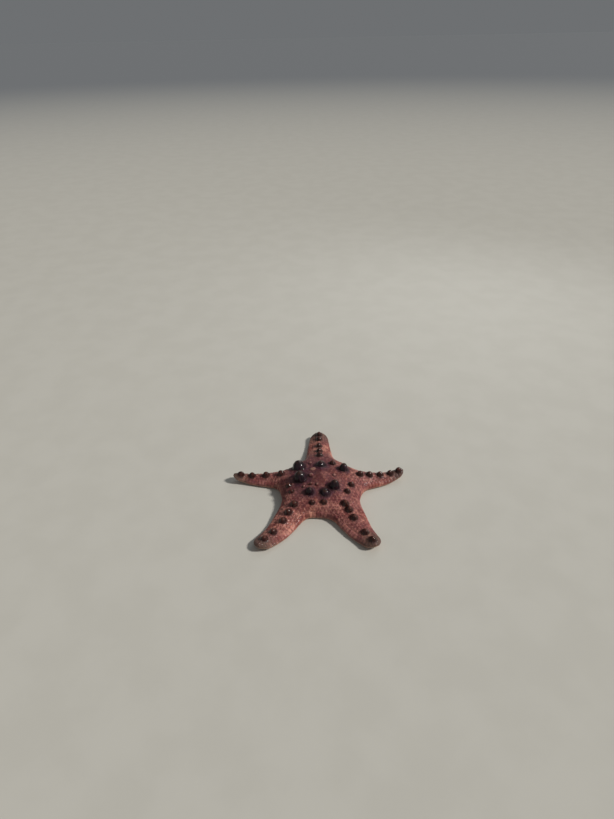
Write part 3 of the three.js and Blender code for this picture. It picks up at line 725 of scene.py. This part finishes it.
FLARE_HEIGHT = 0.12  # share of the height over which the foot flares
SUNK = 0.9  # how far a horn or knob goes on down under the skin
WOBBLE, WOBBLE_SIZE = 0.05, 0.5  # unevenness of its sides, and its swells over its radius


def horn_radius(high, flare, sharpness, fullness):
    """Radius over base radius at a share of the height."""
    body = (1 - np.clip(high, 0, 1) ** sharpness) ** fullness
    return (1.08 - flare) * body + flare * np.exp(-np.maximum(high, 0) / FLARE_HEIGHT)


def tube_faces(rings, sides):
    """Faces over rings of points, closed to the two points that follow them: first, last."""
    index = np.arange(rings * sides).reshape(rings, sides)
    after = np.roll(index, -1, axis=1)
    faces = np.stack([index[:-1], after[:-1], after[1:], index[1:]], -1).reshape(-1, 4).tolist()
    faces += [(b, a, rings * sides) for a, b in zip(index[0], after[0])]
    faces += [(a, b, rings * sides + 1) for a, b in zip(index[-1], after[-1])]
    return faces


def grown_cone(place, profile, sides, rings, seed):
    """Points, faces and shares of height of a cone that grows out of the back."""
    arm, station, sideways, radius, height = place
    fine = np.linspace(0, 1, 400) ** 0.8
    wide = horn_radius(fine, *profile) * radius
    wide = (wide - wide[-1]) * wide[0] / (wide[0] - wide[-1])
    length = np.append(0, np.cumsum(np.hypot(np.diff(wide), np.diff(fine * height))))
    even = np.linspace(0, length[-1], rings)
    high, wide = np.interp(even, length, fine), np.interp(even, length, wide)
    high, wide = np.append(-SUNK / height, high[:-1]), np.append(wide[0] * 1.02, wide[:-1])
    round_it = np.linspace(0, 2 * np.pi, sides, endpoint=False)
    circle = np.stack([np.cos(round_it), np.sin(round_it)])
    around, up = circle / WOBBLE_SIZE, high[:, None] * height / 3
    knot = np.stack(np.broadcast_arrays(*around, up), -1)
    wobble = 1 + WOBBLE * soft_noise(knot.reshape(-1, 3) + seed * 7.3, 1.0, seed).reshape(knot.shape[:2])
    wobble = lerp(1, wobble, eased(0, 0.2, high)[:, None])
    spread = wide[:, None] * wobble
    ground = back_point(arm, station + spread * circle[0], sideways + spread * circle[1])
    direction = growth_direction(arm, station, sideways, radius)
    points = ground + direction * (high[:, None, None] * height)
    tip = back_point(arm, station, sideways) + direction * height
    base = points[0].mean(0)
    cloud = np.concatenate([points.reshape(-1, 3), [base, tip]])
    share = np.append(np.repeat(np.clip(high, 0, 1), sides), [0, 1])
    return cloud, tube_faces(rings, sides), share


def joined(name, parts):
    """One object from many (points, faces, shares of height), which its finish can read."""
    points, faces, shares, count = [], [], [], 0
    for part_points, part_faces, part_shares in parts:
        points.append(part_points)
        faces += [[count + i for i in face] for face in part_faces]
        shares.append(part_shares)
        count += len(part_points)
    made = mesh_object(name, np.concatenate(points), faces)
    put_values(made.data, "high", np.concatenate(shares))
    return made


HORN_SHAPE = (0.2, 2.3, 0.6)  # flare of the foot, sharpness and fullness
KNOB_SHAPE = (0.18, 2.0, 0.56)
HORN_SIDES, HORN_RINGS = 56, 40
KNOB_SIDES, KNOB_RINGS = 36, 22
FIRST_KNOB_SEED = 20

PITCH = (0.009, 0.004, 0.007)
PLUM = (0.03, 0.009, 0.017)
CHESTNUT = (0.026, 0.0065, 0.005)
OXBLOOD = (0.05, 0.013, 0.01)
OLIVE_BROWN = (0.05, 0.022, 0.013)
RUSSET = (0.10, 0.028, 0.018)


def horn_skin(name, dark, light, worn_and_highlit_colour, worn_and_highlit_start, worn_and_highlit_strength):
    """The bare skin of horns and knobs, which turns paler from a share of the height up: partly worn tips,
    partly a painted highlight.
    """
    gloss = Finish(name, 0.35, Coat_Weight=0.45, Coat_Roughness=0.06, Specular_IOR_Level=0.12)
    high = gloss.value("high")
    blotch = gloss.noise(4.5, detail=3.0)
    colour = gloss.mix(gloss.spread(blotch, 0.42, 0.68), dark, light)
    # the paler top is partly worn skin and partly a painted highlight where the light falls on it
    worn_and_highlit_top = gloss.times(gloss.spread(high, worn_and_highlit_start, 1.0), gloss.spread(blotch, 0.25, 0.6))
    colour = gloss.tinted(colour, worn_and_highlit_colour, worn_and_highlit_top, worn_and_highlit_strength)
    colour = gloss.mix(gloss.spread(high, 0.12, 0.0, 0.0, 0.6), colour, RUSSET)
    freckle = gloss.spread(gloss.cells(0.8), 0.32, 0.12)
    colour = gloss.tinted(colour, OLIVE_BROWN, freckle, 0.35)
    fine = gloss.bump(gloss.spread(gloss.cells(0.7), 0.5, 0.0), 0.07)
    swell = gloss.bump(gloss.noise(2.6), 0.45, fine)
    dull = gloss.spread(gloss.noise(2.5, detail=3.0), 0.35, 0.7, 0.3, 0.5)
    return gloss.end(colour, swell, dull)


# the paler tops given here are partly worn and partly a painted highlight
horn_finish = horn_skin("horn_skin", PITCH, PLUM, OLIVE_BROWN, 0.72, 0.9)
knob_finish = horn_skin("knob_skin", CHESTNUT, OXBLOOD, RUSSET, 0.6, 0.9)
bead_finish = horn_skin("bead_skin", MAROON, MAUVE, ROSE_BISCUIT, 0.4, 0.8)

for seed, (name, there) in enumerate(horn_places.items()):
    horn = joined("tall_horn_" + name, [grown_cone(there, HORN_SHAPE, HORN_SIDES, HORN_RINGS, seed)])
    horn.data.materials.append(horn_finish)
    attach(horn, "root")
    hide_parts("horn_" + name)

broad = [there for there in knob_places if there[3] >= BROAD_RADIUS]
small = [there for there in knob_places if there[3] < BROAD_RADIUS]
for name, places, finish in (
    ("broad_knobs", broad, horn_finish),
    ("knobs", small, knob_finish),
    ("beads", bead_places, bead_finish),
):
    lot = joined(name, [
        grown_cone(there, KNOB_SHAPE, KNOB_SIDES, KNOB_RINGS, seed)
        for seed, there in enumerate(places, FIRST_KNOB_SEED)
    ])
    lot.data.materials.append(finish)
    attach(lot, "root")

# ---------------------------------------------------------------------------------------
# The sieve plate. A small pale button of porous skeleton on the disc, off centre, through
# which the star takes in water. Winding grooves run out over it from its middle.

SIEVE_SHAPE = (0.1, 3.5, 0.4)
SIEVE_SIDES, SIEVE_RINGS, SIEVE_SEED = 96, 40, 61
FAWN, TAN = (0.36, 0.19, 0.14), (0.25, 0.105, 0.08)
GROOVES, GROOVE_DEPTH = 9, 0.34
SIEVE_FOOT = 0.05  # share of the height below which there are no grooves
sieve = joined("sieve_button", [grown_cone(sieve_place, SIEVE_SHAPE, SIEVE_SIDES, SIEVE_RINGS, SIEVE_SEED)])
mesh = sieve.data
spot = in_frame(back_point(*sieve_place[:3]))
direction = growth_direction(*sieve_place[:3], SIEVE_RADIUS)
for vertex in mesh.vertices:
    out = (np.array(vertex.co) - spot) / MM
    wide = math.hypot(out[0], out[1])
    bearing = math.atan2(out[1], out[0]) + 0.35 * math.sin(wide * 2.6) + 0.2 * math.sin(wide * 5.1 + 1)
    groove = abs(math.sin(bearing * GROOVES + wide)) ** 0.5 * min(1, wide / 0.8)
    share = mesh.attributes["high"].data[vertex.index].value
    if share > SIEVE_FOOT:
        vertex.co += Vector(direction) * (groove - 1) * GROOVE_DEPTH * MM * min(1, share * 1.5)
chalk = Finish("sieve_chalk", 0.6)
mottle = chalk.spread(chalk.noise(1.4, detail=3.0), 0.35, 0.65)
colour = chalk.mix(mottle, FAWN, TAN)
colour = chalk.mix(chalk.spread(chalk.value("high"), 0.3, 0.0), colour, MAROON)
sieve.data.materials.append(chalk.end(colour, chalk.bump(chalk.cells(0.4), 0.08)))
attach(sieve, "root")
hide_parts("sieve_plate")

# ---------------------------------------------------------------------------------------
# The mouth. Five pairs of jaw plates of skeleton stand round the opening in the middle of
# the underside. Each pair carries a fan of short blunt spines that point at the opening.

ASIDE = (0.31, 0.17, 0.93)  # a direction that no rod points along


def rod(start, end, radii, sides=8):
    """A blunt rod from start to end. radii are (share of the length, radius) from the start."""
    along = (end - start) / np.linalg.norm(end - start)
    across = np.cross(along, ASIDE)
    across /= np.linalg.norm(across)
    other = np.cross(along, across)
    turn = np.linspace(0, 2 * np.pi, sides, endpoint=False)
    circle = np.cos(turn)[:, None] * across + np.sin(turn)[:, None] * other
    rings = [lerp(start, end, share) + circle * radius for share, radius in radii]
    points = np.concatenate([*rings, [start, end]])
    shares = np.append(np.repeat([share for share, _ in radii], sides), [0, 1])
    return points, tube_faces(len(radii), sides), shares


SPINE_SHAPE = ((0.0, 0.8), (0.2, 0.85), (0.55, 1.0), (0.8, 0.92), (0.95, 0.55))


def blunt(radius):
    """The radii of a short spine: a little waist at its foot, a swell, and a round end."""
    return [(share, radius * wide) for share, wide in SPINE_SHAPE]


def spoke(bearing):
    """The level direction of a bearing in radians."""
    return np.array([math.cos(bearing), math.sin(bearing), 0])


JAW_SIDES, JAW_RINGS = 28, 18
JAW_SQUARENESS = 0.62  # 1 gives an egg, and less a block with rounded edges
PLATE_SHARE = 0.4  # stands for a height at which the finish is plain, without the tone of a tip


def jaw_plate(bearing, out_start, out_end, half_width, low, high):
    """A rounded oblong plate that lies along a bearing, from points of a rounded box."""
    shell = bmesh.new()
    bmesh.ops.create_uvsphere(shell, u_segments=JAW_SIDES, v_segments=JAW_RINGS, radius=1)
    along, left = spoke(bearing), spoke(bearing + math.pi / 2)
    sizes = np.array([(out_end - out_start) / 2, half_width, (high - low) / 2])
    ball = np.array([vertex.co for vertex in shell.verts])
    faces = [[vertex.index for vertex in face.verts] for face in shell.faces]
    shell.free()
    block = np.sign(ball) * np.abs(ball) ** JAW_SQUARENESS * sizes
    block += ((out_start + out_end) / 2, 0, (low + high) / 2)
    points = block[:, :1] * along + block[:, 1:2] * left + block[:, 2:] * (0, 0, 1)
    return points, faces, np.full(len(points), PLATE_SHARE)


JAW_START, JAW_END, JAW_HALF_WIDTH = 3.6, 9.8, 1.25
JAW_LOW, JAW_HIGH = 0.9, 4.4
JAW_TURN = 0.19  # radians from the middle of a pair to each of its plates
FRONT_SPINES, FRONT_SPINE_RADIUS = 3, 0.42  # at each plate's inner end, over the mouth
FRONT_TURN, FRONT_TURN_STEP = 0.08, 0.16  # radians from the middle of the pair
FRONT_TIP_OUT, FRONT_TIP_STEP = 1.7, 0.35
RIDGE_SPINES, RIDGE_SPINE_RADIUS, RIDGE_SPINE_STEP = 4, 0.5, 1.35  # on its lower side
RIDGE_TURN = 0.12
jaw_parts = []
for one in ARMS:
    jaw = math.radians(one["root"]) + one["half_angle"][LEFT]
    for side in (RIGHT, LEFT):
        bearing = jaw + side * JAW_TURN
        jaw_parts.append(jaw_plate(bearing, JAW_START, JAW_END, JAW_HALF_WIDTH, JAW_LOW, JAW_HIGH))
        for step in range(FRONT_SPINES):
            aim = jaw + side * (FRONT_TURN + FRONT_TURN_STEP * step)
            root = spoke(aim) * (JAW_START + 0.3 + 0.5 * step)
            tip = spoke(aim + side * 0.1) * (FRONT_TIP_OUT + FRONT_TIP_STEP * step)
            spine = rod(root + (0, 0, 1.6), tip + (0, 0, 0.9), blunt(FRONT_SPINE_RADIUS))
            jaw_parts.append(spine)
        for step in range(RIDGE_SPINES):
            out = JAW_START + 1.0 + RIDGE_SPINE_STEP * step
            root = spoke(jaw + side * RIDGE_TURN) * out + (0, 0, 1.3)
            spine = rod(root, root * (0.88, 0.88, 1) - (0, 0, 0.95), blunt(RIDGE_SPINE_RADIUS))
            jaw_parts.append(spine)
jaws = joined("jaws", jaw_parts)

pale = Finish("mouth_plates", 0.5, Coat_Weight=0.15, Coat_Roughness=0.3)
mottle = pale.spread(pale.noise(1.6), 0.35, 0.65)
colour = pale.mix(mottle, (0.60, 0.36, 0.25), (0.44, 0.21, 0.15))
colour = pale.mix(pale.spread(pale.value("high"), 0.75, 1.0), colour, (0.50, 0.30, 0.2))
pale_finish = pale.end(colour, pale.bump(pale.cells(0.35), 0.06))
jaws.data.materials.append(pale_finish)
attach(jaws, "root")
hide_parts("mouth")

# ---------------------------------------------------------------------------------------
# The furrow's spines. Both edges of every furrow carry plates with a comb of short blunt
# spines, which fold over the furrow and guard the tube feet. All of them are one mesh.

SPINE_STEP = 1.9
SPINE_FIRST, SPINE_LAST = 13.5, 7.5  # from the mouth's middle, and short of the arm's tip
SPINE_RADIUS, SPINE_REACH, SPINE_SIDES = 0.42, 2.3, 7
SPINE_FAN = 0.45  # how far the two spines of a plate stand to either side of it
LAST_SPINE_SIZE = 0.6  # over the size of the first


def under_place(arm, station, sideways, height):
    flat = beside_middle(arm, station, sideways)
    return np.array([*flat, height + float(tip_lift(arm, station))])


spine_parts = []
for one in ARMS:
    for station in np.arange(SPINE_FIRST, one["reach"] - SPINE_LAST, SPINE_STEP):
        edge = float(furrow_half_width(one, station))
        size = lerp(1, LAST_SPINE_SIZE, station / one["reach"])
        for side, fan in itertools.product((RIGHT, LEFT), (-SPINE_FAN, SPINE_FAN)):
            root = under_place(one, station + fan, side * (edge + 0.35), 1.0 * size)
            tip = under_place(one, station + fan * 1.9, side * (edge - SPINE_REACH * size), 0.55)
            spine_parts.append(rod(root, tip, blunt(SPINE_RADIUS * size), sides=SPINE_SIDES))
spines = joined("furrow_spines", spine_parts)
spines.data.materials.append(pale_finish)
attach(spines, "root")

# ---------------------------------------------------------------------------------------
# The tube feet. Two rows of soft water-filled tubes hang in each furrow, each with a
# sucker at its end, and the star stands and creeps on them. All of them are one mesh.

FOOT_STEP = 2.3
FOOT_FIRST, FOOT_LAST = 12.5, 9.0
FOOT_RADIUS, FOOT_SIDES = 0.55, 10
LAST_FOOT_SIZE = 0.55  # over the size of the first
FOOT_LEAN = 0.5
FOOT_SHAPE = (  # share of the length, and radius there: a tube that ends in a sucker
    (0, 1), (0.3, 0.92), (0.6, 0.85), (0.78, 0.9), (0.86, 1.45), (0.95, 1.55), (1.0, 1.2),
)

foot_parts = []
for one in ARMS:
    for index, station in enumerate(np.arange(FOOT_FIRST, one["reach"] - FOOT_LAST, FOOT_STEP)):
        edge = float(furrow_half_width(one, station))
        size = lerp(1, LAST_FOOT_SIZE, station / one["reach"])
        fade = min(1, (one["reach"] - FURROW_END - station) / FURROW_FADE)
        for side in (RIGHT, LEFT):
            lean = FOOT_LEAN * math.sin(index * 2.3 + side)
            root = under_place(one, station, side * edge * 0.38, FURROW_DEPTH * fade * 0.95)
            tip = under_place(one, station + lean, side * edge * 0.3, 0.3)
            radii = [(share, FOOT_RADIUS * size * wide) for share, wide in FOOT_SHAPE]
            foot_parts.append(rod(root, tip, radii, sides=FOOT_SIDES))
feet = joined("tube_feet", foot_parts)
tube = Finish("tube_foot", 0.35, Coat_Weight=0.3, Coat_Roughness=0.15)
colour = tube.mix(tube.spread(tube.value("high"), 0.75, 0.92), (0.62, 0.40, 0.24), (0.66, 0.52, 0.38))
feet.data.materials.append(tube.end(colour))
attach(feet, "root")

# ---------------------------------------------------------------------------------------
# The floor. A plain pale matt surface that the star lies on. It is very wide, and darkens
# far out to the grey of the surroundings, so that no edge shows.

FLOOR_HALF, FLOOR_DROP = 60.0, 0.00005  # in metres; the drop keeps it clear of the star's underside
FAR_GREY = (0.203, 0.215, 0.231)
floor_mesh = bpy.data.meshes.new("floor")
corners = ((-1, -1), (1, -1), (1, 1), (-1, 1))
square = [(x * FLOOR_HALF, y * FLOOR_HALF, -FLOOR_DROP) for x, y in corners]
floor_mesh.from_pydata(square, [], [(0, 1, 2, 3)])
floor = in_scene("floor", floor_mesh)
stone = Finish("pale_floor", 0.75, Specular_IOR_Level=0.2)
cloudy = stone.spread(stone.noise(60, detail=4.0), 0.35, 0.65)
colour = stone.mix(cloudy, (0.545, 0.53, 0.48), (0.565, 0.55, 0.50))
away = stone.node("VectorMath", 1, {"operation": "LENGTH"}, _0=stone.place)
colour = stone.mix(stone.spread(away, 1.0, 9.0), colour, FAR_GREY)
floor_mesh.materials.append(stone.end(colour))

# ---------------------------------------------------------------------------------------
# The light. A soft key from the right, a window behind, a wide faint fill from the front
# left, and even grey surroundings.


def lamp(name, kind, place, energy, **settings):
    """A lamp that points at the middle of the frame."""
    data = bpy.data.lights.new(name, kind)
    data.energy = energy
    for key, value in settings.items():
        setattr(data, key, value)
    made = in_scene(name, data)
    made.location = place
    made.rotation_euler = (-Vector(place)).to_track_quat("-Z", "Y").to_euler()


lamp("key", "SUN", (0.72, -0.1, 0.62), 2.85, angle=math.radians(8), color=(1.0, 0.97, 0.92))
lamp("window", "AREA", (0.45, 0.75, 0.7), 1.4, size=0.5, color=(0.93, 0.96, 1.0))
lamp("fill", "AREA", (-0.8, -0.7, 0.8), 0.6, size=1.2, color=(1.0, 0.98, 0.95))
world = bpy.data.worlds.new("surroundings")
world.use_nodes = True
background = world.node_tree.nodes["Background"].inputs
background["Color"].default_value = (0.155, 0.162, 0.168, 1)
background["Strength"].default_value = 1.0
bpy.context.scene.world = world
bpy.context.scene.view_settings.view_transform = "Standard"

# ---------------------------------------------------------------------------------------
# The camera. It looks down at the star from half a metre above the floor and a little more
# in front, through a wide lens, so that the star lies small in an upright frame.

CAMERA_FROM_DISC = (-17.55, -598.1, 535)
LOOKING_DOWN = math.radians(33.7)
ROLL = math.radians(-1.17)
LENS, SENSOR = 24.967, 36.0  # the sensor is measured along the frame's longer side
camera_data = bpy.data.cameras.new("camera")
camera_data.sensor_width = SENSOR
camera_data.lens = LENS
camera = in_scene("camera", camera_data)
camera.matrix_world = (
    Matrix.Translation(in_frame(CAMERA_FROM_DISC))
    @ Matrix.Rotation(math.pi / 2 - LOOKING_DOWN, 4, "X")
    @ Matrix.Rotation(ROLL, 4, "Z")
)
bpy.context.scene.camera = camera

bpy.context.view_layer.update()
